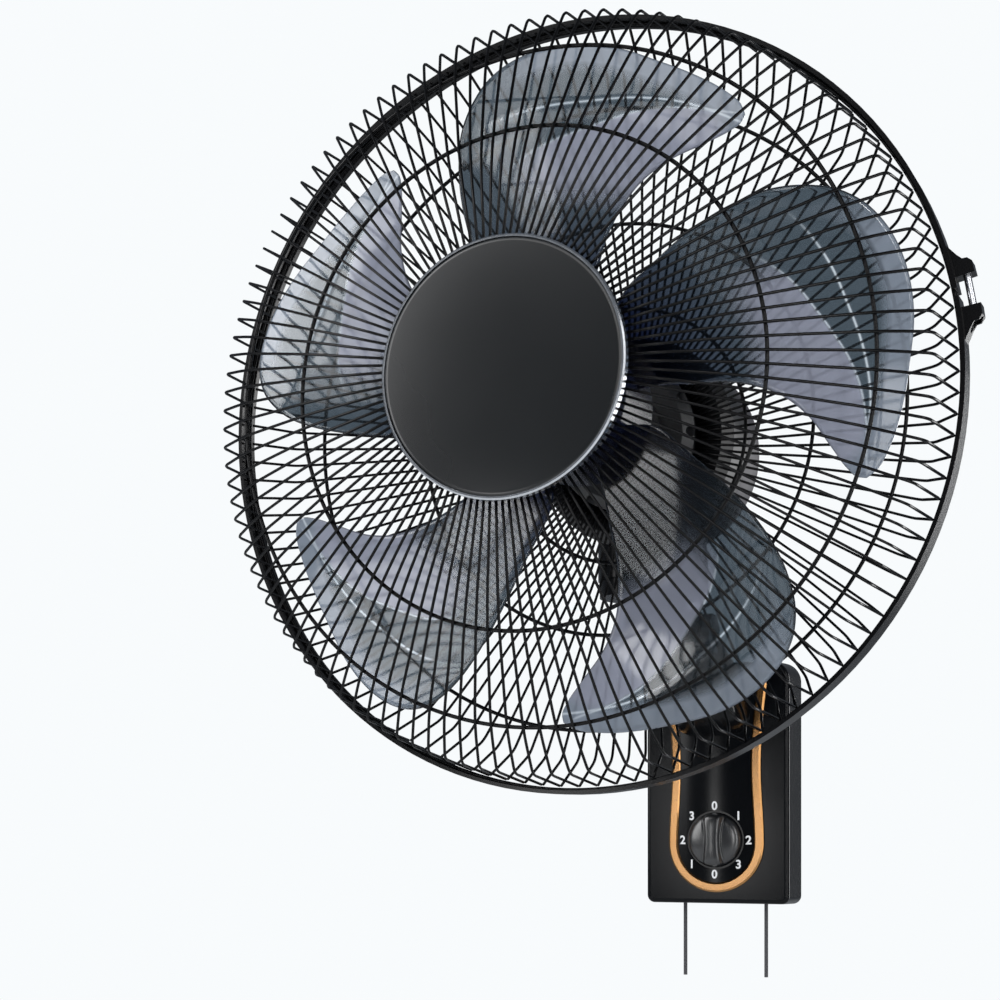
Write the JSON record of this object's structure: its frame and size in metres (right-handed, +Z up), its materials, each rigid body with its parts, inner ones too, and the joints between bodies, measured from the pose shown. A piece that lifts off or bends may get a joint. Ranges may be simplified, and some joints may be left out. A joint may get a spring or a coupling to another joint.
{
  "type": "wall mounted fan",
  "caption": "Guarded fan head on a short tilting and swinging arm, over a tall wall box with a round knob and pull cords.",
  "frame": {"origin": "middle of the wall plate's back face, on the wall", "axes": "+Z up, -Y out from the wall into the room, +X to the right seen from the front"},
  "size_m": [0.4402, 0.4111, 0.5557],
  "materials": {
    "black": "satin moulded",
    "charcoal": "satin moulded",
    "gilt": "hot-stamped gold",
    "wire": "gloss powder coat",
    "smoke": "clear tinted, polished",
    "bright": "polished",
    "steel": "bright zinc plated",
    "zinc": "zinc plated sheet",
    "cord": "braided look",
    "switch": "moulded",
    "terminal": "moulded",
    "rubber": "moulded",
    "lamination": "varnished sheet stack",
    "copper": "enamelled wire",
    "aluminium": "die cast",
    "bronze": "sintered"
  },
  "bodies": {
    "base": {"wall_plate": "zinc", "foot_screws": "steel", "arm_strut": "zinc", "base_housing": "black", "gilt_line": "gilt", "neck_moulding": "black", "arm_screws": "steel", "rotary_switch": "switch", "pull_switches": "switch", "cord_bushes": "black", "inlet_bush": "rubber", "terminal_block": "terminal", "capacitor": "switch", "tilt_pin": "steel", "tilt_knob": "black"},
    "knob": {"speed_knob": "black", "switch_shaft": "steel"},
    "speed_pull": {"speed_slider": "terminal", "speed_cord": "cord"},
    "swing_pull": {"swing_slider": "terminal", "swing_cord": "cord"},
    "neck": {"tilt_head": "black", "pan_post": "steel", "post_clip": "steel", "swing_fork": "zinc"},
    "head": {"pan_lid": "black", "pan_housing": "black", "swing_motor": "zinc", "motor_front_cowl": "charcoal", "motor_rear_cowl": "black", "stator_core": "lamination", "windings": "copper", "rear_bell": "aluminium", "motor_bolts": "steel", "bearings": "bronze", "rear_guard_wires": "wire", "rear_guard_rings": "wire", "front_guard_wires": "wire", "front_guard_rings": "wire", "rear_guard_plate": "wire", "ring_nut": "black", "guard_band": "charcoal", "clasp_screw": "steel", "clasp_nut": "steel", "badge_cap": "charcoal", "badge_rim": "bright", "badge_clip": "black", "badge_screws": "steel"},
    "crank": {"swing_crank": "steel"},
    "rotor": {"motor_shaft": "steel", "drive_pin": "steel", "rotor_core": "lamination", "fan_blade": "smoke", "spinner": "black"}
  },
  "joints": [
    {"name": "tilt", "type": "hinge", "parent": "base", "child": "neck", "pos_m": [0, -0.142, 0.092], "axis": [1, 0, 0], "range_deg": [-15, 25]},
    {"name": "pan", "type": "hinge", "parent": "neck", "child": "head", "pos_m": [0, -0.169, 0.12], "axis": [0, 0, 1], "range_deg": [-40, 40]},
    {"name": "crank_turn", "type": "hinge", "parent": "head", "child": "crank", "pos_m": [0, -0.15344, 0.12], "axis": [0, 0, 1], "range_deg": [-130, 130]},
    {"name": "spin", "type": "hinge", "parent": "head", "child": "rotor", "pos_m": [0, -0.301, 0.204], "axis": [0, 1, 0], "continuous": true},
    {"name": "speed_dial", "type": "hinge", "parent": "base", "child": "knob", "pos_m": [0, -0.037, -0.0395], "axis": [0, 1, 0], "continuous": true},
    {"name": "speed_cord_pull", "type": "slide", "parent": "base", "child": "speed_pull", "axis": [0, 0, -1], "range_m": [0, 0.01], "stiffness_N_per_m": 200, "springref_m": -0.005},
    {"name": "swing_cord_pull", "type": "slide", "parent": "base", "child": "swing_pull", "axis": [0, 0, -1], "range_m": [0, 0.01], "stiffness_N_per_m": 200, "springref_m": -0.005}
  ],
  "couplings": [
    {"joint": "crank_turn", "follows": "pan", "ratio": -3.25}
  ]
}
